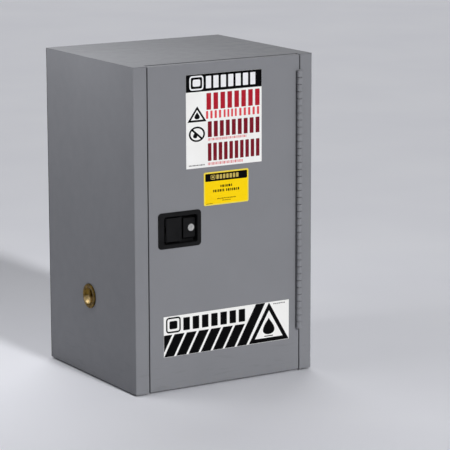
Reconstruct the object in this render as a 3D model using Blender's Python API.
"""Single-door flammable storage cabinet for standing under a bench.

Metres, +Z up. The door faces -Y and is hinged on its +X edge. The origin is on the
floor, under the middle of the whole object's box. Depths are counted from the front
face of the cabinet, and sideways distances from its left edge, as a fabricator would.
"""

import math

import bmesh
import bpy
from mathutils import Matrix, Vector

# Overall size of the painted body
WIDTH = 0.559
DEPTH = 0.495
HEIGHT = 0.889
FLOOR_GAP = 0.004

# Sheet metal
SHEET = 0.0012
LINER_SHEET = 0.0010
BEND = 0.0020
AIR_GAP = 0.0391
SEAM = 0.0003
HOLE_PLAY = 0.0005
THROUGH = 0.005

# Front frame and door
LEFT_STILE = 0.0415
RIGHT_STILE = 0.0385
JAMB_DEPTH = 0.045
LATCH_GAP = 0.0022
HINGE_GAP = 0.003
DOOR_BOTTOM = 0.0055
DOOR_TOP = 0.887
DOOR_SKIN_DEPTH = 0.018
DOOR_DEPTH = 0.040
FRAME_SETBACK = 0.0205
FRAME_BACK = 0.041
SILL_TOP = 0.093
RAIL_BOTTOM = 0.847
DOOR_BOX_BOTTOM = 0.097
DOOR_BOX_TOP = 0.843
DOOR_BOX_INSET = 0.0055
BACK_FLANGE = 0.015
JAMB_RETURN = 0.010
JAMB_CLEAR = 0.001
BASE_EDGE = 0.024
RAIL_LIP = 0.013
RAIL_FLANGE = 0.014
SKIN_EDGE = 0.0008
SKIN_CORNER = 0.0015
RIM_EDGE = 0.0010

# Inside
SUMP_FLOOR = 0.042
LINER_FRONT = FRAME_BACK + 0.0006
LINER_BACK = 0.4531
SHELF_BOTTOM = 0.468
SHELF_LIP = 0.012
SHELF_FRONT = 0.062
SHELF_REAR = 0.440
SHELF_SIDE_GAP = 0.003
BRACKET_WIDTH = 0.024
BRACKET_COLUMNS = (0.100, 0.402)
BRACKET_PITCH = 0.060
SLOTS_BELOW = 4
SLOTS_ABOVE = 4
SLOT_HEIGHT = 0.010
CLIP_SHEET = 0.0015
CLIP_ARM = 0.0182
CLIP_LEG = 0.024
HOOK_NECK = 0.0021
HOOK_DROP = 0.008

# Piano hinge
HINGE_LOW = 0.1245
HINGE_HIGH = 0.846
KNUCKLES = 37
KNUCKLE_GAP = 0.0016
BARREL_RADIUS = 0.0075
BARREL_WALL = 0.0049
CURL_START = math.radians(95)
CURL_SWEEP = math.radians(335)
CURL_STEPS = 12
PIN_RADIUS = 0.0022
PIN_END = 0.001
HINGE_PROUD = 0.0077
HINGE_OFFSET = 0.005
LEAF = 0.0010
LEAF_PLAY = 0.0002
LEAF_FRONT = 0.0010
TIE_FRONT = -0.0044
TIE_REAR = 0.0030
LEAF_ON_DOOR = 0.017
LEAF_ON_FRAME = 0.028

# Latch: everything is laid out about the middle of the cam
CAM_X = 0.118
CAM_Z = 0.444
CAM_ARM = 0.022
CAM_TILT = math.radians(20)
CAM_FRONT = 0.0323
CAM_THICK = 0.0032
CAM_PIN = 0.003
ROD_DEPTH = 0.02975
ROD_RADIUS = 0.00475
ROD_TAB = 0.0035
ROD_HOLE = 0.0062
BOLT_HEIGHT = 0.013
BOLT_TIP = 0.030
BOLT_SLACK = 0.0008
SLOT_HALF_WIDTH = 0.0034
SLOT_HALF_LENGTH = 0.0046
SLOT_ROUND = 0.0033
KEEPER_FRONT = 0.0255
KEEPER_REAR = 0.0340
KEEPER_HALF = 0.010
KEEPER_SHEET = 0.0015
KEEPER_EDGE = 0.004
KEEPER_REACH = 0.022
BASE_PLATE = (0.080, 0.196, CAM_Z - 0.041, CAM_Z + 0.040)
BASE_FRONT = 0.0370
BASE_BACK = 0.0385
POST_RADIUS = 0.0035
POST_INSET = 0.005
PIVOT_RADIUS = 0.0040
PIVOT_BORE = 0.0042
PIVOT_HEAD = 0.0065
PIVOT_HEAD_THICK = 0.0022
CAM_CORNER = 0.007
CAM_PIN_REACH = 0.0051
GUIDE_FRONT = 0.0225
GUIDE_HALF = 0.010
UPPER_GUIDE = (0.828, 0.8415)
LOWER_GUIDE = (0.0985, 0.112)
ROD_END = 0.012
PADDLE_AXIS_X = 0.1005
PADDLE_AXIS_DEPTH = 0.0095
PADDLE_PIN = 0.0015
PADDLE_HALF = 0.032
PADDLE_SHEET = 0.0025
PADDLE_BARREL = 0.0044
PADDLE_BARREL_LENGTH = 0.0215
PADDLE_END = 0.0005
PADDLE_BORE = 0.0017
PADDLE_PIN_END = 0.0015
PIN_HOLE_END = 0.0018
SPRING_RADIUS = 0.0030
SPRING_HALF = 0.0075
SPRING_WIRE = 0.0005

# Handle dish
DISH_LEFT = 0.071
DISH_RIGHT = 0.2034
DISH_LOW = CAM_Z - 0.049
DISH_HIGH = CAM_Z + 0.049
DISH_CORNER = 0.010
DISH_EDGE = 0.0015
RECESS_LEFT = 0.089
RECESS_RIGHT = 0.192
RECESS_LOW = CAM_Z - 0.038
RECESS_HIGH = CAM_Z + 0.037
RECESS_CORNER = 0.006
RECESS_FLARE = 0.001
DISH_FLOOR = 0.020
DISH_WALL = 0.0025
DISH_PROUD = 0.0025

# Key lock
LOCK_X = 0.1775
LOCK_Z = CAM_Z
LOCK_FRONT = 0.0068
LOCK_REAR = 0.026
LOCK_BARREL = 0.0098
LOCK_PLUG = 0.0063
LOCK_EDGE = 0.001
KEYWAY_HALF_WIDTH = 0.0008
KEYWAY_HALF_HEIGHT = 0.0038
KEYWAY_DEPTH = 0.018
HOUSING_LEFT = 0.1535
HOUSING_RIGHT = 0.1900
HOUSING_HALF = 0.027
HOUSING_FRONT = 0.008
HOUSING_EDGE = 0.001
HOUSING_CORNER = 0.003
TONGUE_LENGTH = 0.014
TONGUE_ROUND = 0.0055
TONGUE_THICK = 0.002
TONGUE_START = LOCK_REAR + 0.0007
PLUG_REAR = LOCK_REAR + 0.0004

# Vents, one low on the left and one high on the right
VENT_DEPTH = 0.257
LOW_VENT_Z = 0.228
HIGH_VENT_Z = 0.775
VENT_HOLE = 0.0315
VENT_BORE = 0.0292
COLLAR_TUBE = 0.0310
COLLAR_FLANGE = 0.0370
COLLAR_LENGTH = 0.0433
COLLAR_SEAT = SHEET + SEAM + 0.0001
COLLAR_SHEET = 0.0015
SCREEN_NEAR = 0.033
SCREEN_FAR = 0.036
SCREEN_RINGS = ((0, 1), (0.0095, 6), (0.0195, 12))
SCREEN_HOLE = 0.0038
SCREEN_PLAY = 0.0002
BUNG_FLANGE = 0.034
BUNG_PROUD = 0.0043
BUNG_SHANK = 0.0286
BUNG_LENGTH = 0.024
BUNG_DISH = 0.0097
BUNG_EDGE = 0.0015
BUNG_FLOOR = BUNG_FLANGE - 0.0135
BUNG_WALL = BUNG_FLANGE - 0.0115
BUNG_MOUTH = BUNG_FLANGE - 0.0085
BUNG_BAR_FOOT = BUNG_DISH + 0.0023
BUNG_BAR_HALF = 0.0030
BUNG_BAR_REACH = 0.0230
BUNG_BAR_TOP = -0.0022

# Bonding screw, at the back of the right wall
GROUND_DEPTH = 0.440
GROUND_Z = 0.060
GROUND_HOLE = 0.0034
GROUND_SHANK = 0.0030
GROUND_HEAD = 0.0062
GROUND_HEAD_THICK = 0.0038
GROUND_LENGTH = 0.012

# Feet
FOOT_PAD = 0.016
FOOT_PAD_HIGH = 0.0035
FOOT_PAD_SIDE = 0.0022
FOOT_PAD_SLOPE = 0.0015
FOOT_EDGE = 0.001
FOOT_STUD = 0.004
FOOT_STUD_TOP = 0.033
NUT_RADIUS = 0.0095
NUT_HEIGHT = 0.008
FOOT_INSET_X = 0.045
FOOT_FRONT = 0.060
FOOT_REAR = 0.450

# Labels: left, right, bottom, top
HAZARD_LABEL = (0.159, 0.396, 0.6045, 0.857)
NOTICE_LABEL = (0.213, 0.354, 0.499, 0.590)
STRIPE_LABEL = (0.0855, 0.485, 0.097, 0.209)
LABEL_THICK = 0.0004

LEAF_X = WIDTH - RIGHT_STILE - HINGE_GAP / 2
HINGE_X = LEAF_X - HINGE_OFFSET
DOOR_LEFT = LEFT_STILE + LATCH_GAP
DOOR_RIGHT = WIDTH - RIGHT_STILE - HINGE_GAP
FRONT_Y = -(DEPTH - HINGE_PROUD - BARREL_RADIUS) / 2
ROD_SHIFT = CAM_ARM * math.cos(CAM_TILT)
ROD_STROKE_HALF = CAM_ARM * math.sin(CAM_TILT)
UPPER_ROD_X = CAM_X - ROD_SHIFT
LOWER_ROD_X = CAM_X + ROD_SHIFT
BOLT_Z = CAM_Z - ROD_SHIFT


# ---------------------------------------------------------------- places

def across(distance):
    """World X of a distance from the cabinet's left edge."""
    return distance - WIDTH / 2


def back(distance):
    """World Y of a depth behind the cabinet's front face."""
    return FRONT_Y + distance


def at(x, depth, z):
    return Vector((across(x), back(depth), z))


def pivot(name, place, parent=None):
    """An empty on a joint's axis, which carries the pieces that move with it."""
    empty = bpy.data.objects.new(name, None)
    empty.empty_display_size = 0.03
    bpy.context.scene.collection.objects.link(empty)
    empty["place"] = tuple(place)
    empty.location = place
    if parent:
        empty.parent = parent
        empty.location = place - Vector(parent["place"])
    return empty


# ---------------------------------------------------------------- outlines

def bent_sheet(path, thickness, bend=BEND, steps=3):
    """Outline of a folded sheet whose outer face follows path and whose body lies on
    the path's left, with round bends of inside radius bend."""
    outer = [Vector(path[0])]
    inner = [Vector(path[0]) + thickness * left_of(path[0], path[1])]
    for before, corner, after in zip(path, path[1:], path[2:]):
        first, second = left_of(before, corner), left_of(corner, after)
        turn = math.atan2(first.cross(second), first.dot(second))
        side = 1 if turn > 0 else -1
        near = bend + thickness if side > 0 else bend
        middle = Vector(corner) + side * near * (first + second) / (1 + first.dot(second))
        for step in range(steps + 1):
            normal = turned_by(first, turn * step / steps)
            outer.append(middle - side * near * normal)
            inner.append(middle - (side * near - thickness) * normal)
    outer.append(Vector(path[-1]))
    inner.append(Vector(path[-1]) + thickness * left_of(path[-2], path[-1]))
    return outer + inner[::-1]


def left_of(start, end):
    along = (Vector(end) - Vector(start)).normalized()
    return Vector((-along.y, along.x))


def turned_by(direction, angle):
    return Matrix.Rotation(angle, 2) @ direction


def rounded(corners, radius, steps=4):
    """A convex outline, listed counter-clockwise, grown outwards by radius with arcs."""
    points = []
    for index, corner in enumerate(corners):
        before = -left_of(corners[index - 1], corner)
        after = -left_of(corner, corners[(index + 1) % len(corners)])
        turn = math.atan2(before.cross(after), before.dot(after))
        for step in range(steps + 1):
            points.append(Vector(corner) + radius * turned_by(before, turn * step / steps))
    return points


def rounded_rectangle(left, right, low, high, radius, steps=4):
    a, b, c, d = left + radius, right - radius, low + radius, high - radius
    return rounded([(a, c), (b, c), (b, d), (a, d)], radius, steps)


def circle(x, z, radius, sides):
    angles = [math.tau * step / sides for step in range(sides)]
    return [Vector((x + radius * math.cos(a), z + radius * math.sin(a))) for a in angles]


# ---------------------------------------------------------------- solids

def loft(sections, axis):
    """Closed solid through sections of (outline, position) along an axis. Outlines are
    in the other two axes, in X, Y, Z order."""
    index = "XYZ".index(axis)
    bm = bmesh.new()
    rings = []
    for outline, position in sections:
        ring = []
        for point in outline:
            place = list(point)
            place.insert(index, position)
            ring.append(bm.verts.new(place))
        rings.append(ring)
    bm.faces.new(rings[0])
    bm.faces.new(rings[-1])
    for one, two in zip(rings, rings[1:]):
        for corner in range(len(one)):
            after = (corner + 1) % len(one)
            bm.faces.new((one[corner], one[after], two[after], two[corner]))
    bmesh.ops.recalc_face_normals(bm, faces=bm.faces)
    return bm


def prism(outline, axis, start, end):
    return loft([(outline, start), (outline, end)], axis)


def box(low, high):
    outline = [(low[0], low[1]), (high[0], low[1]), (high[0], high[1]), (low[0], high[1])]
    return prism(outline, "Z", low[2], high[2])


def cabinet_box(left, right, front, rear, low, high):
    """A box given by distances from the left edge, depths and heights."""
    return box(at(left, front, low), at(right, rear, high))


def rod(centre, axis, start, end, radius, sides=16):
    """Cylinder along an axis; centre gives its place on the other two axes."""
    return prism(circle(centre[0], centre[1], radius, sides), axis, start, end)


def hole_through(x, depth, z, radius, sides=16):
    """Cutter for a round hole through an upright sheet at x."""
    return rod((back(depth), z), "X", across(x - THROUGH), across(x + THROUGH), radius, sides)


def turned(profile, axis, centre, sides=32):
    """Solid of revolution from a closed profile of (radius, position) points."""
    bm = bmesh.new()
    first, second = ["XYZ".index(other) for other in "XYZ" if other != axis]
    rings = []
    for radius, position in profile:
        ring = []
        for step in range(sides if radius > 0 else 1):
            angle = math.tau * step / sides
            place = [0, 0, 0]
            place["XYZ".index(axis)] = position
            place[first] = centre[0] + radius * math.cos(angle)
            place[second] = centre[1] + radius * math.sin(angle)
            ring.append(bm.verts.new(place))
        rings.append(ring)
    for one, two in zip(rings, rings[1:] + rings[:1]):
        if len(one) == 1 and len(two) == 1:
            continue
        for step in range(sides):
            after = (step + 1) % sides
            corners = [one[step % len(one)], one[after % len(one)]]
            corners += [two[after % len(two)], two[step % len(two)]]
            bm.faces.new(list(dict.fromkeys(corners)))
    bmesh.ops.recalc_face_normals(bm, faces=bm.faces)
    return bm


def together(shapes):
    """Several separate closed shapes as one tool for a Boolean."""
    mesh = bpy.data.meshes.new("together")
    bm = bmesh.new()
    for shape in shapes:
        shape.to_mesh(mesh)
        shape.free()
        bm.from_mesh(mesh)
    bpy.data.meshes.remove(mesh)
    return bm


def boolean(base, tool, operation):
    """Union, difference or intersection of two closed shapes."""
    pair = []
    for shape in (base, tool):
        mesh = bpy.data.meshes.new("operand")
        shape.to_mesh(mesh)
        shape.free()
        holder = bpy.data.objects.new("operand", mesh)
        bpy.context.scene.collection.objects.link(holder)
        pair.append(holder)
    modifier = pair[0].modifiers.new("operation", "BOOLEAN")
    modifier.operation = operation
    modifier.solver = "EXACT"
    modifier.object = pair[1]
    bpy.context.view_layer.update()
    evaluated = pair[0].evaluated_get(bpy.context.evaluated_depsgraph_get())
    bm = bmesh.new()
    bm.from_mesh(evaluated.to_mesh())
    evaluated.to_mesh_clear()
    for holder in pair:
        mesh = holder.data
        bpy.data.objects.remove(holder)
        bpy.data.meshes.remove(mesh)
    return bm


def cut(base, *tools):
    return boolean(base, together(tools), "DIFFERENCE")


def joined(base, *others):
    for other in others:
        base = boolean(base, other, "UNION")
    return base


def tray(left, right, front, rear, low, high, wall, open_side):
    """A pan folded from sheet: a box hollowed from its +Y, -Y or +Z side."""
    inner = [left + wall, right - wall, front + wall, rear - wall, low + wall, high - wall]
    opened = {"-Y": 2, "+Y": 3, "+Z": 5}[open_side]
    beyond = {"-Y": front, "+Y": rear, "+Z": high}[open_side]
    inner[opened] = beyond + (-wall if open_side == "-Y" else wall)
    return cut(cabinet_box(left, right, front, rear, low, high), cabinet_box(*inner))


# ---------------------------------------------------------------- finishes

def finish(part, name, colour, roughness, metallic):
    surface = bpy.data.materials.new(f"{part.name}_{name}")
    surface.use_nodes = True
    shader = surface.node_tree.nodes["Principled BSDF"]
    shader.inputs["Base Color"].default_value = (*colour, 1)
    shader.inputs["Roughness"].default_value = roughness
    shader.inputs["Metallic"].default_value = metallic
    surface.diffuse_color = (*colour, 1)
    part.data.materials.append(surface)


def grey_paint(part):
    finish(part, "grey_paint", (0.223, 0.227, 0.240), 0.45, 0.0)


def liner_paint(part):
    finish(part, "liner_paint", (0.250, 0.254, 0.266), 0.50, 0.0)


def galvanised(part):
    finish(part, "galvanised", (0.50, 0.51, 0.52), 0.40, 1.0)


def zinc(part):
    finish(part, "zinc", (0.62, 0.62, 0.60), 0.35, 1.0)


def black_plastic(part):
    finish(part, "black_plastic", (0.013, 0.013, 0.014), 0.45, 0.0)


def chrome(part):
    finish(part, "chrome", (0.62, 0.62, 0.62), 0.22, 1.0)


def brass(part):
    finish(part, "brass", (0.55, 0.38, 0.13), 0.30, 1.0)


def steel_mesh(part):
    finish(part, "steel_mesh", (0.40, 0.40, 0.40), 0.50, 1.0)


def white_vinyl(part):
    finish(part, "white_vinyl", (0.83, 0.83, 0.86), 0.35, 0.0)


def yellow_vinyl(part):
    finish(part, "yellow_vinyl", (0.98, 0.65, 0.01), 0.35, 0.0)


def dark_rubber(part):
    finish(part, "dark_rubber", (0.03, 0.03, 0.03), 0.7, 0.0)


def add(name, bm, surface, origin, parent=None, smooth=False):
    """Make the named part, with its origin at a place on the object."""
    mesh = bpy.data.meshes.new(name)
    bm.transform(Matrix.Translation(-origin))
    bm.to_mesh(mesh)
    bm.free()
    if smooth:
        mesh.shade_smooth()
        mesh.set_sharp_from_angle(angle=math.radians(35))
    part = bpy.data.objects.new(name, mesh)
    bpy.context.scene.collection.objects.link(part)
    part.location = origin
    if parent:
        part.parent = parent
        part.location = origin - Vector(parent["place"])
    surface(part)
    return part


# ---------------------------------------------------------------- outer shell

def side_profile(stile, mirrored):
    """Plan of a side wall with its back flange, front stile and door jamb."""
    rear = DEPTH - SHEET - SEAM
    path = [(BACK_FLANGE, rear), (0, rear), (0, 0), (stile, 0), (stile, JAMB_DEPTH)]
    path.append((stile - JAMB_RETURN, JAMB_DEPTH))
    outline = bent_sheet(path, SHEET)
    if mirrored:
        outline = [Vector((WIDTH - point.x, point.y)) for point in outline]
    return [Vector((across(point.x), back(point.y))) for point in outline]


def side_panel(name, stile, mirrored, vent_z, extra_cuts):
    outline = side_profile(stile, mirrored)
    shell = prism(outline, "Z", FLOOR_GAP, HEIGHT - SHEET - SEAM)
    face = WIDTH if mirrored else 0
    vent = hole_through(face, VENT_DEPTH, vent_z, VENT_HOLE, 32)
    shell = cut(shell, vent, *extra_cuts)
    add(name, shell, grey_paint, at(face, DEPTH / 2, FLOOR_GAP), smooth=True)


def keeper_slot():
    """Cutter for the slot in the left jamb that the side bolt goes through."""
    left, right = LEFT_STILE - THROUGH, LEFT_STILE + THROUGH
    low, high = BOLT_Z - KEEPER_HALF, BOLT_Z + KEEPER_HALF
    return cabinet_box(left, right, KEEPER_FRONT, KEEPER_REAR, low, high)


def left_side_panel():
    side_panel("left_side_panel", LEFT_STILE, False, LOW_VENT_Z, [keeper_slot()])


def right_side_panel():
    ground_hole = hole_through(WIDTH, GROUND_DEPTH, GROUND_Z, GROUND_HOLE)
    side_panel("right_side_panel", RIGHT_STILE, True, HIGH_VENT_Z, [ground_hole])


def top_panel():
    """Top sheet, notched at the front where the door covers it."""
    left, right = LEFT_STILE, WIDTH - RIGHT_STILE
    notch = FRAME_SETBACK - SEAM
    path = [(0, 0), (left, 0), (left, notch), (right, notch), (right, 0), (WIDTH, 0)]
    path += [(WIDTH, DEPTH), (0, DEPTH)]
    outline = [(across(x), back(depth)) for x, depth in path]
    sheet = prism(outline, "Z", HEIGHT - SHEET, HEIGHT)
    add("top_panel", sheet, grey_paint, at(WIDTH / 2, DEPTH / 2, HEIGHT))


def back_panel():
    """Flat sheet lapped over the back flanges of both sides."""
    high = HEIGHT - SHEET - SEAM
    sheet = cabinet_box(0, WIDTH, DEPTH - SHEET, DEPTH, FLOOR_GAP, high)
    add("back_panel", sheet, grey_paint, at(WIDTH / 2, DEPTH, HEIGHT / 2))


def foot_places():
    right = WIDTH - FOOT_INSET_X
    return {
        "front_left": (FOOT_INSET_X, FOOT_FRONT),
        "front_right": (right, FOOT_FRONT),
        "rear_left": (FOOT_INSET_X, FOOT_REAR),
        "rear_right": (right, FOOT_REAR),
    }


def base_panel():
    """Bottom pan with turned-up edges and a hole for each foot's stud."""
    side = SHEET + 2 * SEAM
    rear = DEPTH - 2 * SHEET - 2 * SEAM - BEND
    front = JAMB_DEPTH + JAMB_CLEAR
    pan = tray(side, WIDTH - side, front, rear, FLOOR_GAP, BASE_EDGE, SHEET, "+Z")
    holes = []
    for x, depth in foot_places().values():
        high = FLOOR_GAP + THROUGH
        holes.append(rod((across(x), back(depth)), "Z", 0, high, FOOT_STUD + HOLE_PLAY))
    add("base_panel", cut(pan, *holes), grey_paint, at(WIDTH / 2, DEPTH / 2, FLOOR_GAP))


def frame_rail(name, path, rod_x):
    """A folded rail between the stiles, with the hole that a latch rod drops into."""
    outline = [(back(depth), z) for depth, z in bent_sheet(path, SHEET)]
    left = across(LEFT_STILE + SEAM)
    right = across(WIDTH - RIGHT_STILE - SEAM)
    middle = path[2][1]
    centre = (across(rod_x), back(ROD_DEPTH))
    hole = rod(centre, "Z", middle - THROUGH, middle + THROUGH, ROD_HOLE)
    rail = cut(prism(outline, "X", left, right), hole)
    add(name, rail, grey_paint, at(WIDTH / 2, FRAME_SETBACK, middle), smooth=True)


def door_sill():
    """Raised front of the leakproof sump, hidden behind the foot of the door."""
    path = [(FRAME_BACK, SILL_TOP - RAIL_LIP), (FRAME_BACK, SILL_TOP)]
    path += [(FRAME_SETBACK, SILL_TOP)]
    path += [(FRAME_SETBACK, FLOOR_GAP), (JAMB_DEPTH + SEAM, FLOOR_GAP)]
    frame_rail("door_sill", path, LOWER_ROD_X)


def top_rail():
    top = HEIGHT - SHEET - SEAM
    path = [(FRAME_SETBACK + RAIL_FLANGE, top), (FRAME_SETBACK, top)]
    path += [(FRAME_SETBACK, RAIL_BOTTOM), (FRAME_BACK, RAIL_BOTTOM)]
    path += [(FRAME_BACK, RAIL_BOTTOM + RAIL_LIP)]
    frame_rail("top_rail", path, UPPER_ROD_X)


# ---------------------------------------------------------------- inner shell

def slot_levels():
    return [BRACKET_PITCH * step for step in range(-SLOTS_BELOW, SLOTS_ABOVE + 1)]


def side_liner(name, mirrored, vent_z):
    """Inner side wall with rows of slots for the shelf brackets and a vent hole."""
    left = WIDTH - RIGHT_STILE + SEAM if mirrored else SHEET + AIR_GAP
    right = left + LINER_SHEET
    high = RAIL_BOTTOM + LINER_SHEET
    front, rear = JAMB_DEPTH + HOLE_PLAY, LINER_BACK + LINER_SHEET + HOLE_PLAY
    sheet = cabinet_box(left, right, front, rear, SUMP_FLOOR, high)
    first, last = left - THROUGH, right + THROUGH
    half = BRACKET_WIDTH / 2 + JAMB_CLEAR
    holes = []
    for column in BRACKET_COLUMNS:
        for level in slot_levels():
            top = SHELF_BOTTOM - SEAM + level + JAMB_CLEAR
            low = top - SLOT_HEIGHT
            holes.append(cabinet_box(first, last, column - half, column + half, low, top))
    holes.append(hole_through(left, VENT_DEPTH, vent_z, VENT_HOLE, 32))
    add(name, cut(sheet, *holes), liner_paint, at(left, DEPTH / 2, SUMP_FLOOR))


def back_liner():
    left, right = LEFT_STILE + SEAM, WIDTH - RIGHT_STILE - SEAM
    rear = LINER_BACK + LINER_SHEET
    high = RAIL_BOTTOM + LINER_SHEET
    sheet = cabinet_box(left, right, LINER_BACK, rear, SUMP_FLOOR, high)
    add("back_liner", sheet, liner_paint, at(WIDTH / 2, LINER_BACK, HEIGHT / 2))


def top_liner():
    left, right = LEFT_STILE + SEAM, WIDTH - RIGHT_STILE - SEAM
    front, rear = LINER_FRONT, LINER_BACK - SEAM
    sheet = cabinet_box(left, right, front, rear, RAIL_BOTTOM, RAIL_BOTTOM + LINER_SHEET)
    add("top_liner", sheet, liner_paint, at(WIDTH / 2, DEPTH / 2, RAIL_BOTTOM))


def sump_pan():
    """Liquid-tight inner floor with walls all round, which holds a spill."""
    left, right = LEFT_STILE + SEAM, WIDTH - RIGHT_STILE - SEAM
    front, rear = LINER_FRONT, LINER_BACK - SEAM
    pan = tray(left, right, front, rear, SUMP_FLOOR, SILL_TOP, LINER_SHEET, "+Z")
    add("sump_pan", pan, liner_paint, at(WIDTH / 2, DEPTH / 2, SUMP_FLOOR))


def bracket_outline(mirrored):
    """Side view of a clip that hooks through the liner and carries the shelf."""
    face = LEFT_STILE + SEAM
    top = SHELF_BOTTOM - SEAM
    under, toe, hook = top - CLIP_SHEET, top - CLIP_LEG, top - HOOK_DROP
    back_of_hook = face - HOOK_NECK - CLIP_SHEET
    path = [(back_of_hook, top), (face + CLIP_ARM, top), (face + CLIP_ARM, under)]
    path += [(face + CLIP_SHEET, under), (face + CLIP_SHEET, toe), (face, toe)]
    path += [(face, under), (face - HOOK_NECK, under)]
    path += [(face - HOOK_NECK, hook), (back_of_hook, hook)]
    if mirrored:
        mirror = LEFT_STILE + WIDTH - RIGHT_STILE
        path = [(mirror - x, z) for x, z in path]
    return [(across(x), z) for x, z in path]


def shelf_brackets():
    for side, mirrored in (("left", False), ("right", True)):
        for place, column in zip(("front", "rear"), BRACKET_COLUMNS):
            near, far = column - BRACKET_WIDTH / 2, column + BRACKET_WIDTH / 2
            clip = prism(bracket_outline(mirrored), "Y", back(near), back(far))
            x = WIDTH - RIGHT_STILE if mirrored else LEFT_STILE
            origin = at(x, column, SHELF_BOTTOM)
            add(f"shelf_bracket_{side}_{place}", clip, galvanised, origin)


def shelf():
    """Lipped shelf that lifts off its four brackets."""
    left = LEFT_STILE + SHELF_SIDE_GAP
    right = WIDTH - RIGHT_STILE - SHELF_SIDE_GAP
    high = SHELF_BOTTOM + SHELF_LIP
    front, rear = SHELF_FRONT, SHELF_REAR
    pan = tray(left, right, front, rear, SHELF_BOTTOM, high, SHEET, "+Z")
    lift = pivot("shelf_lift_axis", at(WIDTH / 2, (front + rear) / 2, SHELF_BOTTOM))
    add("shelf", pan, galvanised, Vector(lift["place"]), lift)


# ---------------------------------------------------------------- vents

def wall_position(side, depth_in):
    """World X of a distance into the wall, from the outer face of that side."""
    return across(depth_in) if side == "left" else across(WIDTH - depth_in)


def vent_collar(side, z):
    """Threaded tube through both walls, with a flange behind the outer sheet."""
    near, far = COLLAR_SEAT, COLLAR_SEAT + COLLAR_SHEET
    points = [(VENT_BORE, SEAM), (COLLAR_TUBE, SEAM), (COLLAR_TUBE, near)]
    points += [(COLLAR_FLANGE, near), (COLLAR_FLANGE, far), (COLLAR_TUBE, far)]
    points += [(COLLAR_TUBE, COLLAR_LENGTH), (VENT_BORE, COLLAR_LENGTH)]
    profile = [(radius, wall_position(side, depth_in)) for radius, depth_in in points]
    tube = turned(profile, "X", (back(VENT_DEPTH), z))
    origin = Vector((wall_position(side, 0), back(VENT_DEPTH), z))
    add(f"{side}_vent_collar", tube, brass, origin, smooth=True)


def flame_arrester(side, z):
    """Fire screen across the bore of a vent."""
    centre = (back(VENT_DEPTH), z)
    start, end = wall_position(side, SCREEN_NEAR), wall_position(side, SCREEN_FAR)
    disc = rod(centre, "X", start, end, VENT_BORE - SCREEN_PLAY, 32)
    low, high = min(start, end) - THROUGH, max(start, end) + THROUGH
    holes = []
    for ring, count in SCREEN_RINGS:
        for step in range(count):
            angle = math.tau * step / count
            y = centre[0] + ring * math.cos(angle)
            height = centre[1] + ring * math.sin(angle)
            holes.append(rod((y, height), "X", low, high, SCREEN_HOLE, 6))
    origin = Vector((start, *centre))
    add(f"{side}_flame_arrester", cut(disc, *holes), steel_mesh, origin, smooth=True)


def vent_bung(side, z):
    """Screw-in brass plug with a dished face and a bar to turn it by."""
    proud, edge = -BUNG_PROUD, BUNG_EDGE
    points = [(0, BUNG_DISH), (BUNG_FLOOR, BUNG_DISH), (BUNG_WALL, BUNG_DISH - 0.0020)]
    points += [(BUNG_WALL + 0.0010, BUNG_BAR_TOP), (BUNG_MOUTH, proud)]
    points += [(BUNG_FLANGE - edge, proud)]
    points += [(BUNG_FLANGE, proud + edge), (BUNG_FLANGE, -SEAM), (BUNG_SHANK, -SEAM)]
    points += [(BUNG_SHANK, BUNG_LENGTH - 0.002), (BUNG_SHANK - edge, BUNG_LENGTH)]
    points += [(0, BUNG_LENGTH)]
    profile = [(radius, wall_position(side, depth_in)) for radius, depth_in in points]
    plug = turned(profile, "X", (back(VENT_DEPTH), z), sides=40)
    ends = sorted(wall_position(side, depth) for depth in (BUNG_BAR_TOP, BUNG_BAR_FOOT))
    y = back(VENT_DEPTH)
    half, reach = BUNG_BAR_HALF, BUNG_BAR_REACH
    bar = box((ends[0], y - half, z - reach), (ends[1], y + half, z + reach))
    axis = pivot(f"{side}_bung_axis", Vector((wall_position(side, 0), y, z)))
    origin = Vector(axis["place"])
    add(f"{side}_vent_bung", joined(plug, bar), brass, origin, axis, smooth=True)


def ground_screw():
    """Brass bonding screw, low at the back of the right wall."""
    centre = (back(GROUND_DEPTH), GROUND_Z)
    inner, outer = WIDTH - GROUND_LENGTH, WIDTH + GROUND_HEAD_THICK
    head = rod(centre, "X", across(WIDTH + SEAM), across(outer), GROUND_HEAD, 6)
    shank = rod(centre, "X", across(inner), across(WIDTH + 0.001), GROUND_SHANK, 12)
    origin = Vector((across(WIDTH), *centre))
    add("ground_screw", joined(head, shank), brass, origin, smooth=True)


# ---------------------------------------------------------------- feet

def foot(name, x, depth):
    """Levelling foot: a pad on a stud that screws into the base."""
    edge = FOOT_EDGE
    profile = [(0, 0), (FOOT_PAD - edge, 0), (FOOT_PAD, edge), (FOOT_PAD, FOOT_PAD_SIDE)]
    profile += [(FOOT_PAD - FOOT_PAD_SLOPE, FOOT_PAD_HIGH), (FOOT_STUD, FOOT_PAD_HIGH)]
    profile += [(FOOT_STUD, FOOT_STUD_TOP), (0, FOOT_STUD_TOP + edge)]
    shape = turned(profile, "Z", (across(x), back(depth)), sides=20)
    axis = pivot(f"foot_{name}_axis", at(x, depth, 0))
    add(f"foot_{name}", shape, dark_rubber, Vector(axis["place"]), axis, smooth=True)


def foot_nut(name, x, depth):
    centre = (across(x), back(depth))
    low = FLOOR_GAP + SHEET + SEAM
    high = low + NUT_HEIGHT
    block = rod(centre, "Z", low, high, NUT_RADIUS, 6)
    bore = rod(centre, "Z", low - THROUGH, high + THROUGH, FOOT_STUD + HOLE_PLAY)
    origin = at(x, depth, low)
    add(f"foot_nut_{name}", cut(block, bore), zinc, origin, smooth=True)


# ---------------------------------------------------------------- hinge

def knuckle_levels():
    pitch = (HINGE_HIGH - HINGE_LOW) / KNUCKLES
    starts = [HINGE_LOW + pitch * index + KNUCKLE_GAP / 2 for index in range(KNUCKLES)]
    return [(start, start + pitch - KNUCKLE_GAP) for start in starts]


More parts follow.
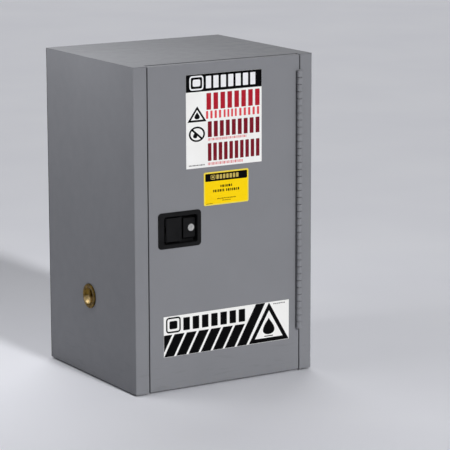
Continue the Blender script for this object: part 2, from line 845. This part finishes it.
def curl_outline():
    """Plan of one rolled knuckle."""
    near, far = BARREL_RADIUS - BARREL_WALL, BARREL_RADIUS
    steps = range(CURL_STEPS + 1)
    angles = [CURL_START + CURL_SWEEP * step / CURL_STEPS for step in steps]
    outer = [(far * math.cos(a), far * math.sin(a)) for a in angles]
    inner = [(near * math.cos(a), near * math.sin(a)) for a in reversed(angles)]
    return [(across(HINGE_X + x), back(y - HINGE_PROUD)) for x, y in outer + inner]


def hinge_leaf(name, side, reach, parent, first):
    """Leaf of the piano hinge with every second knuckle; side is +1 for the leaf on
    the frame and -1 for the leaf on the door."""
    outer = LEAF_PLAY + LEAF
    faces = sorted((LEAF_X + side * LEAF_PLAY, LEAF_X + side * outer))
    plate = cabinet_box(*faces, LEAF_FRONT, reach, HINGE_LOW, HINGE_HIGH)
    knuckles, ties = [], []
    for low, high in knuckle_levels()[first::2]:
        knuckles.append(prism(curl_outline(), "Z", low, high))
        ties.append(cabinet_box(*faces, TIE_FRONT, TIE_REAR, low, high))
    leaf = joined(plate, together(ties), together(knuckles))
    origin = at(HINGE_X, -HINGE_PROUD, HINGE_LOW)
    add(name, leaf, grey_paint, origin, parent, smooth=True)


def hinge_pin():
    centre = (across(HINGE_X), back(-HINGE_PROUD))
    pin = rod(centre, "Z", HINGE_LOW - PIN_END, HINGE_HIGH + PIN_END, PIN_RADIUS, 12)
    add("hinge_pin", pin, zinc, at(HINGE_X, -HINGE_PROUD, HINGE_LOW), smooth=True)


# ---------------------------------------------------------------- door

def door_skin(door):
    """Outer door pan with a window for the handle dish."""
    left, right = DOOR_LEFT, DOOR_RIGHT
    low, high = DOOR_BOTTOM, DOOR_TOP
    outline = rounded_rectangle(across(left), across(right), low, high, SKIN_CORNER, 2)
    tight = rounded_rectangle(
        across(left + SKIN_EDGE), across(right - SKIN_EDGE), low + SKIN_EDGE,
        high - SKIN_EDGE, SKIN_CORNER, 2,
    )
    sections = [(tight, back(0)), (outline, back(SKIN_EDGE)), (outline, back(DOOR_SKIN_DEPTH))]
    solid = loft(sections, "Y")
    hollow = cabinet_box(
        left + SHEET, right - SHEET, SHEET, DOOR_SKIN_DEPTH + SHEET, low + SHEET, high - SHEET
    )
    margin = DISH_WALL + JAMB_CLEAR
    window = cabinet_box(
        RECESS_LEFT - margin, RECESS_RIGHT + margin, -THROUGH, THROUGH,
        RECESS_LOW - margin, RECESS_HIGH + margin,
    )
    skin = cut(cut(solid, hollow), window)
    add("door_skin", skin, grey_paint, Vector(door["place"]), door, smooth=True)


def door_liner(door):
    """Inner door pan: a flat rim that closes the skin and a box that fills the doorway."""
    rim_front = DOOR_SKIN_DEPTH + SEAM
    rim_back = rim_front + LINER_SHEET
    left, right = DOOR_LEFT + RIM_EDGE, DOOR_RIGHT - RIM_EDGE
    bottom, top = DOOR_BOTTOM + RIM_EDGE, DOOR_TOP - RIM_EDGE
    rim = cabinet_box(left, right, rim_front, rim_back, bottom, top)
    box_left, box_right = DOOR_LEFT + DOOR_BOX_INSET, DOOR_RIGHT - DOOR_BOX_INSET
    low, high = DOOR_BOX_BOTTOM, DOOR_BOX_TOP
    outer = cabinet_box(box_left, box_right, rim_front, DOOR_DEPTH, low, high)
    wall = LINER_SHEET
    hollow = cabinet_box(
        box_left + wall, box_right - wall, rim_front - 0.002, DOOR_DEPTH - wall,
        low + wall, high - wall,
    )
    holes = []
    for x, z in ((UPPER_ROD_X, high), (LOWER_ROD_X, low)):
        centre = (across(x), back(ROD_DEPTH))
        holes.append(rod(centre, "Z", z - THROUGH, z + THROUGH, ROD_HOLE))
    reach = BOLT_HEIGHT / 2 + 0.002
    holes.append(
        cabinet_box(
            box_left - THROUGH, box_left + THROUGH, ROD_DEPTH - ROD_TAB, ROD_DEPTH + ROD_TAB,
            BOLT_Z - reach, BOLT_Z + reach,
        )
    )
    pan = cut(cut(joined(rim, outer), hollow), *holes)
    add("door_liner", pan, liner_paint, Vector(door["place"]), door)


def label(name, extent, surface, door, radius=0.0005):
    left, right, low, high = extent
    outline = rounded_rectangle(across(left), across(right), low, high, radius, 3)
    plate = prism(outline, "Y", back(-SEAM - LABEL_THICK), back(-SEAM))
    add(name, plate, surface, at((left + right) / 2, 0, (low + high) / 2), door)


# ---------------------------------------------------------------- handle

def dish_outline(grow, radius):
    left, right = across(DISH_LEFT - grow), across(DISH_RIGHT + grow)
    return rounded_rectangle(left, right, DISH_LOW - grow, DISH_HIGH + grow, radius, 5)


def recess_outline(grow, radius):
    left, right = across(RECESS_LEFT - grow), across(RECESS_RIGHT + grow)
    return rounded_rectangle(left, right, RECESS_LOW - grow, RECESS_HIGH + grow, radius, 4)


def handle_dish(door):
    """Moulded dish set into the door, which holds the paddle and the lock."""
    rim_back = dish_outline(0, DISH_CORNER)
    rim_front = dish_outline(-DISH_EDGE, DISH_CORNER - DISH_EDGE)
    front = back(-SEAM - DISH_PROUD)
    edge = front + RECESS_FLARE
    rim = loft([(rim_back, back(-SEAM)), (rim_back, edge), (rim_front, front)], "Y")
    tub = prism(
        recess_outline(DISH_WALL, RECESS_CORNER + DISH_WALL),
        "Y", edge, back(DISH_FLOOR + DISH_WALL),
    )
    mouth = recess_outline(0, RECESS_CORNER)
    flare = recess_outline(RECESS_FLARE, RECESS_CORNER + RECESS_FLARE)
    recess = loft([(flare, front - RECESS_FLARE), (flare, front), (mouth, edge),
                   (mouth, back(DISH_FLOOR))], "Y")
    under, behind = back(DISH_FLOOR - THROUGH), back(DISH_FLOOR + 2 * THROUGH)
    lock_hole = rod((across(LOCK_X), LOCK_Z), "Y", under, behind, LOCK_BARREL + HOLE_PLAY, 24)
    tail_slot = cabinet_box(
        PADDLE_AXIS_X - 0.0045, PADDLE_AXIS_X + 0.0205,
        DISH_FLOOR - THROUGH, DISH_FLOOR + 2 * THROUGH, BOLT_Z - 0.008, BOLT_Z + 0.006,
    )
    pin_hole = rod(
        (across(PADDLE_AXIS_X), back(PADDLE_AXIS_DEPTH)), "Z",
        RECESS_LOW - PIN_HOLE_END, RECESS_HIGH + PIN_HOLE_END, PADDLE_BORE, 12,
    )
    dish = cut(joined(rim, tub), recess)
    dish = cut(dish, lock_hole, tail_slot, pin_hole)
    origin = at((DISH_LEFT + DISH_RIGHT) / 2, 0, (DISH_LOW + DISH_HIGH) / 2)
    add("handle_dish", dish, black_plastic, origin, door, smooth=True)


def paddle(door):
    """Pull plate hinged at its left end, with a tail that works the latch."""
    x = PADDLE_AXIS_X
    face = [(x - 0.0020, 0.0030), (x + 0.0345, 0.0015), (x + 0.0468, 0.0050)]
    face += [(x + 0.0482, 0.0100)]
    bend = PADDLE_SHEET / 2
    sheet = bent_sheet(face, PADDLE_SHEET, bend)
    outline = [(across(x), back(depth)) for x, depth in sheet]
    low, high = CAM_Z - PADDLE_HALF, CAM_Z + PADDLE_HALF
    plate = prism(outline, "Z", low, high)
    centre = (across(PADDLE_AXIS_X), back(PADDLE_AXIS_DEPTH))
    barrel, end = PADDLE_BARREL_LENGTH, PADDLE_END
    barrels = [
        rod(centre, "Z", low + end, low + end + barrel, PADDLE_BARREL, 14),
        rod(centre, "Z", high - end - barrel, high - end, PADDLE_BARREL, 14),
    ]
    tail = cabinet_box(x - 0.0017, x + 0.0013, 0.0125, 0.0275, BOLT_Z - 0.006, BOLT_Z + 0.004)
    bore = rod(centre, "Z", low - end, high + end, PADDLE_BORE, 12)
    shape = joined(plate, together(barrels), tail)
    axis = pivot("paddle_axis", at(PADDLE_AXIS_X, PADDLE_AXIS_DEPTH, CAM_Z), door)
    origin = Vector(axis["place"])
    add("paddle", cut(shape, bore), black_plastic, origin, axis, smooth=True)


def paddle_pin(door):
    centre = (across(PADDLE_AXIS_X), back(PADDLE_AXIS_DEPTH))
    low, high = RECESS_LOW - PADDLE_PIN_END, RECESS_HIGH + PADDLE_PIN_END
    pin = rod(centre, "Z", low, high, PADDLE_PIN, 12)
    origin = at(PADDLE_AXIS_X, PADDLE_AXIS_DEPTH, CAM_Z)
    add("paddle_pin", pin, zinc, origin, door, smooth=True)


def paddle_spring(door):
    """Torsion spring on the paddle's pin, between its two barrels."""
    steps, radius = 12, SPRING_RADIUS
    last = 5 * steps + steps // 4
    low, high = -SPRING_HALF, SPRING_HALF
    points = [(0.0135, -radius, low)]
    for step in range(last + 1):
        angle = -math.pi / 2 - math.tau * step / steps
        height = low + (high - low) * step / last
        points.append((radius * math.cos(angle), radius * math.sin(angle), height))
    points.append((-radius, 0.0095, high))
    curve = bpy.data.curves.new("paddle_spring", "CURVE")
    curve.dimensions = "3D"
    curve.bevel_depth = SPRING_WIRE
    curve.bevel_resolution = 1
    curve.use_fill_caps = True
    wire = curve.splines.new("POLY")
    wire.points.add(len(points) - 1)
    for point, (x, y, z) in zip(wire.points, points):
        point.co = (x, y, z, 1)
    part = bpy.data.objects.new("paddle_spring", curve)
    bpy.context.scene.collection.objects.link(part)
    part.parent = door
    place = at(PADDLE_AXIS_X, PADDLE_AXIS_DEPTH, CAM_Z)
    part.location = place - Vector(door["place"])
    zinc(part)


# ---------------------------------------------------------------- latch

def latch_base(door):
    """Back plate of the latch on four posts behind the dish."""
    left, right, low, high = BASE_PLATE
    plate = cabinet_box(left, right, BASE_FRONT, BASE_BACK, low, high)
    posts = []
    start, end = back(DISH_FLOOR + DISH_WALL + SEAM), back(BASE_FRONT + HOLE_PLAY)
    foot, head = low + POST_INSET, high - POST_INSET
    for x, z in ((0.100, foot), (0.190, foot), (0.112, head), (0.190, head)):
        posts.append(rod((across(x), z), "Y", start, end, POST_RADIUS, 10))
    shape = joined(plate, together(posts))
    add("latch_base", shape, zinc, at(CAM_X, BASE_FRONT, CAM_Z), door, smooth=True)


def cam_pivot(door):
    centre = (across(CAM_X), CAM_Z)
    face = CAM_FRONT - SEAM
    shank = rod(centre, "Y", back(face - 0.001), back(BASE_FRONT - SEAM), PIVOT_RADIUS)
    head = rod(centre, "Y", back(face - PIVOT_HEAD_THICK), back(face), PIVOT_HEAD)
    origin = at(CAM_X, face, CAM_Z)
    add("cam_pivot", joined(shank, head), zinc, origin, door, smooth=True)


def cam_pins():
    """Places of the three drive pins: upper rod, side bolt, lower rod."""
    places = []
    for quarter in (math.pi, 1.5 * math.pi, 2 * math.pi):
        angle = quarter - CAM_TILT
        x = CAM_X + CAM_ARM * math.cos(angle)
        places.append((across(x), CAM_Z + CAM_ARM * math.sin(angle)))
    return places


def latch_cam(door):
    """Three-lobed plate that draws both rods and the side bolt at once."""
    plate = prism(
        rounded(cam_pins(), CAM_CORNER, 5), "Y", back(CAM_FRONT), back(CAM_FRONT + CAM_THICK)
    )
    pins = []
    for place in cam_pins():
        start, end = back(CAM_FRONT - CAM_PIN_REACH), back(CAM_FRONT + 0.001)
        pins.append(rod(place, "Y", start, end, CAM_PIN, 12))
    near, far = back(CAM_FRONT - THROUGH), back(CAM_FRONT + 2 * THROUGH)
    bore = rod((across(CAM_X), CAM_Z), "Y", near, far, PIVOT_BORE)
    shape = cut(joined(plate, together(pins)), bore)
    axis = pivot("cam_axis", at(CAM_X, CAM_FRONT, CAM_Z), door)
    add("latch_cam", shape, zinc, Vector(axis["place"]), axis, smooth=True)


def latch_rod(name, door, x, way, tip):
    """Locking rod with a slotted tab at the cam and a bullet tip; way is +1 for the
    upper rod and -1 for the lower one."""
    near, far = ROD_DEPTH - ROD_TAB / 2, ROD_DEPTH + ROD_TAB / 2

    def level(offset):
        return CAM_Z + way * offset

    def slab(half, start, end):
        low, high = sorted((level(start), level(end)))
        return cabinet_box(x - half, x + half, near, far, low, high)

    slot_z = level(ROD_STROKE_HALF)
    slot = rounded_rectangle(
        across(x - SLOT_HALF_LENGTH), across(x + SLOT_HALF_LENGTH),
        slot_z - SLOT_HALF_WIDTH, slot_z + SLOT_HALF_WIDTH, SLOT_ROUND, 3,
    )
    centre = (across(x), back(ROD_DEPTH))
    sections = [
        (circle(*centre, ROD_RADIUS, 14), level(0.034)),
        (circle(*centre, ROD_RADIUS, 14), tip - way * 0.0045),
        (circle(*centre, ROD_RADIUS * 0.75, 14), tip - way * 0.0012),
        (circle(*centre, ROD_RADIUS * 0.35, 14), tip),
    ]
    shape = joined(slab(0.0095, 0.0012, 0.018), slab(0.0050, 0.016, 0.038), loft(sections, "Z"))
    shape = cut(shape, prism(slot, "Y", back(near - 0.002), back(far + 0.002)))
    axis = pivot(f"{name}_axis", at(x, ROD_DEPTH, slot_z), door)
    add(name, shape, zinc, Vector(axis["place"]), axis, smooth=True)


def side_bolt(door):
    """Flat bolt that the cam throws into the left jamb."""
    near, far = ROD_DEPTH - ROD_TAB / 2, ROD_DEPTH + ROD_TAB / 2
    middle = BOLT_Z - BOLT_SLACK
    low, high = middle - BOLT_HEIGHT / 2, middle + BOLT_HEIGHT / 2
    pin_x = CAM_X - ROD_STROKE_HALF
    end = pin_x + 0.007
    outline = [(end, near), (end, far), (BOLT_TIP + 0.005, far)]
    outline += [(BOLT_TIP, near + 0.001), (BOLT_TIP, near)]
    bar = prism([(across(x), back(depth)) for x, depth in outline], "Z", low, high)
    left, right = PADDLE_AXIS_X + 0.0023, PADDLE_AXIS_X + 0.0060
    striker = cabinet_box(left, right, 0.0240, far - 0.001, low, high)
    slot_z = BOLT_Z - (CAM_ARM - ROD_SHIFT) / 2
    slot = rounded_rectangle(
        across(pin_x - SLOT_HALF_WIDTH), across(pin_x + SLOT_HALF_WIDTH),
        slot_z - SLOT_HALF_LENGTH, slot_z + SLOT_HALF_LENGTH, SLOT_ROUND, 3,
    )
    shape = cut(joined(bar, striker), prism(slot, "Y", back(near - 0.002), back(far + 0.002)))
    axis = pivot("side_bolt_axis", at(pin_x, ROD_DEPTH, BOLT_Z), door)
    add("side_bolt", shape, zinc, Vector(axis["place"]), axis)


def rod_guide(name, door, x, extent):
    """Block that keeps a rod's outer end in line."""
    low, high = extent
    rear = DOOR_DEPTH - LINER_SHEET - SEAM
    block = cabinet_box(x - GUIDE_HALF, x + GUIDE_HALF, GUIDE_FRONT, rear, low, high)
    centre = (across(x), back(ROD_DEPTH))
    bore = rod(centre, "Z", low - 0.01, high + 0.01, ROD_RADIUS + HOLE_PLAY, 14)
    origin = at(x, ROD_DEPTH, (low + high) / 2)
    add(name, cut(block, bore), black_plastic, origin, door, smooth=True)


def side_bolt_guide(door):
    low, high = BOLT_Z - 0.015, BOLT_Z + 0.013
    block = cabinet_box(0.058, 0.070, 0.0230, DOOR_DEPTH - LINER_SHEET - SEAM, low, high)
    slot = cabinet_box(0.050, 0.080, 0.0275, 0.0320, BOLT_Z - 0.0080, BOLT_Z + 0.0064)
    origin = at(0.064, ROD_DEPTH, BOLT_Z)
    add("side_bolt_guide", cut(block, slot), black_plastic, origin, door)


def strike_plate():
    """Hardened keeper inside the left jamb, which the side bolt slides behind."""
    right = LEFT_STILE - SHEET - SEAM
    front, rear = KEEPER_FRONT - KEEPER_EDGE, KEEPER_REAR + KEEPER_EDGE
    low, high = BOLT_Z - KEEPER_REACH, BOLT_Z + KEEPER_REACH
    plate = cabinet_box(right - KEEPER_SHEET, right, front, rear, low, high)
    add("strike_plate", cut(plate, keeper_slot()), zinc, at(right, ROD_DEPTH, BOLT_Z))


# ---------------------------------------------------------------- key lock

def lock_housing(door):
    """Raised block in the dish that the lock sits in."""
    edge, corner = HOUSING_EDGE, HOUSING_CORNER
    left, right = across(HOUSING_LEFT), across(HOUSING_RIGHT)
    low, high = LOCK_Z - HOUSING_HALF, LOCK_Z + HOUSING_HALF
    base = rounded_rectangle(left, right, low, high, corner, 3)
    top = rounded_rectangle(
        left + edge, right - edge, low + edge, high - edge, corner - edge, 3
    )
    front = back(HOUSING_FRONT)
    sections = [(base, back(DISH_FLOOR - SEAM)), (base, front + edge), (top, front)]
    centre = (across(LOCK_X), LOCK_Z)
    start, end = front - THROUGH, back(DISH_FLOOR + THROUGH)
    bore = rod(centre, "Y", start, end, LOCK_BARREL + HOLE_PLAY, 24)
    shape = cut(loft(sections, "Y"), bore)
    origin = at(LOCK_X, HOUSING_FRONT, LOCK_Z)
    add("lock_housing", shape, black_plastic, origin, door, smooth=True)


def lock_barrel(door):
    """Fixed shell of the lock."""
    inner, edge = LOCK_PLUG + SEAM, LOCK_EDGE
    front, rear = back(LOCK_FRONT), back(LOCK_REAR)
    profile = [(inner, front + SEAM), (LOCK_BARREL - edge, front)]
    profile += [(LOCK_BARREL, front + edge), (LOCK_BARREL, rear), (inner, rear)]
    shape = turned(profile, "Y", (across(LOCK_X), LOCK_Z), sides=24)
    add("lock_barrel", shape, chrome, at(LOCK_X, LOCK_FRONT, LOCK_Z), door, smooth=True)


def key_plug(axis):
    """Turning core of the lock, with its keyway."""
    centre = (across(LOCK_X), LOCK_Z)
    core = rod(centre, "Y", back(LOCK_FRONT + HOLE_PLAY), back(PLUG_REAR), LOCK_PLUG, 24)
    left, right = LOCK_X - KEYWAY_HALF_WIDTH, LOCK_X + KEYWAY_HALF_WIDTH
    low, high = LOCK_Z - KEYWAY_HALF_HEIGHT, LOCK_Z + KEYWAY_HALF_HEIGHT
    keyway = cabinet_box(left, right, 0, KEYWAY_DEPTH, low, high)
    shape = cut(core, keyway)
    add("key_plug", shape, chrome, Vector(axis["place"]), axis, smooth=True)


def lock_cam(axis):
    """Tongue on the back of the lock."""
    x, z = across(LOCK_X), LOCK_Z
    foot = z - TONGUE_LENGTH
    outline = rounded([(x, foot), (x + 0.0001, foot), (x, z)], TONGUE_ROUND, 6)
    start = back(TONGUE_START)
    shape = prism(outline, "Y", start, start + TONGUE_THICK)
    add("lock_cam", shape, zinc, Vector(axis["place"]), axis, smooth=True)


# ---------------------------------------------------------------- the cabinet

def build_shell():
    left_side_panel()
    right_side_panel()
    top_panel()
    back_panel()
    base_panel()
    door_sill()
    top_rail()
    strike_plate()
    ground_screw()


def build_inside():
    side_liner("left_liner", False, LOW_VENT_Z)
    side_liner("right_liner", True, HIGH_VENT_Z)
    back_liner()
    top_liner()
    sump_pan()
    shelf_brackets()
    shelf()


def build_vents_and_feet():
    for side, z in (("left", LOW_VENT_Z), ("right", HIGH_VENT_Z)):
        vent_collar(side, z)
        flame_arrester(side, z)
        vent_bung(side, z)
    for name, (x, depth) in foot_places().items():
        foot(name, x, depth)
        foot_nut(name, x, depth)


def build_door(door):
    door_skin(door)
    door_liner(door)
    hinge_leaf("hinge_leaf_door", -1, LEAF_ON_DOOR, door, 1)
    label("hazard_label", HAZARD_LABEL, white_vinyl, door)
    label("notice_label", NOTICE_LABEL, yellow_vinyl, door, 0.004)
    label("stripe_label", STRIPE_LABEL, white_vinyl, door)


def build_latch(door):
    handle_dish(door)
    paddle(door)
    paddle_pin(door)
    paddle_spring(door)
    latch_base(door)
    cam_pivot(door)
    latch_cam(door)
    latch_rod("upper_rod", door, UPPER_ROD_X, 1, RAIL_BOTTOM + ROD_END)
    latch_rod("lower_rod", door, LOWER_ROD_X, -1, SILL_TOP - ROD_END)
    side_bolt(door)
    rod_guide("upper_rod_guide", door, UPPER_ROD_X, UPPER_GUIDE)
    rod_guide("lower_rod_guide", door, LOWER_ROD_X, LOWER_GUIDE)
    side_bolt_guide(door)


def build_lock(door):
    lock_housing(door)
    lock_barrel(door)
    axis = pivot("key_axis", at(LOCK_X, LOCK_FRONT, LOCK_Z), door)
    key_plug(axis)
    lock_cam(axis)


def main():
    for item in list(bpy.data.objects):
        bpy.data.objects.remove(item, do_unlink=True)
    build_shell()
    build_inside()
    build_vents_and_feet()
    hinge_leaf("hinge_leaf_frame", 1, LEAF_ON_FRAME, None, 0)
    hinge_pin()
    door = pivot("door_axis", at(HINGE_X, -HINGE_PROUD, HINGE_LOW))
    build_door(door)
    build_latch(door)
    build_lock(door)


main()
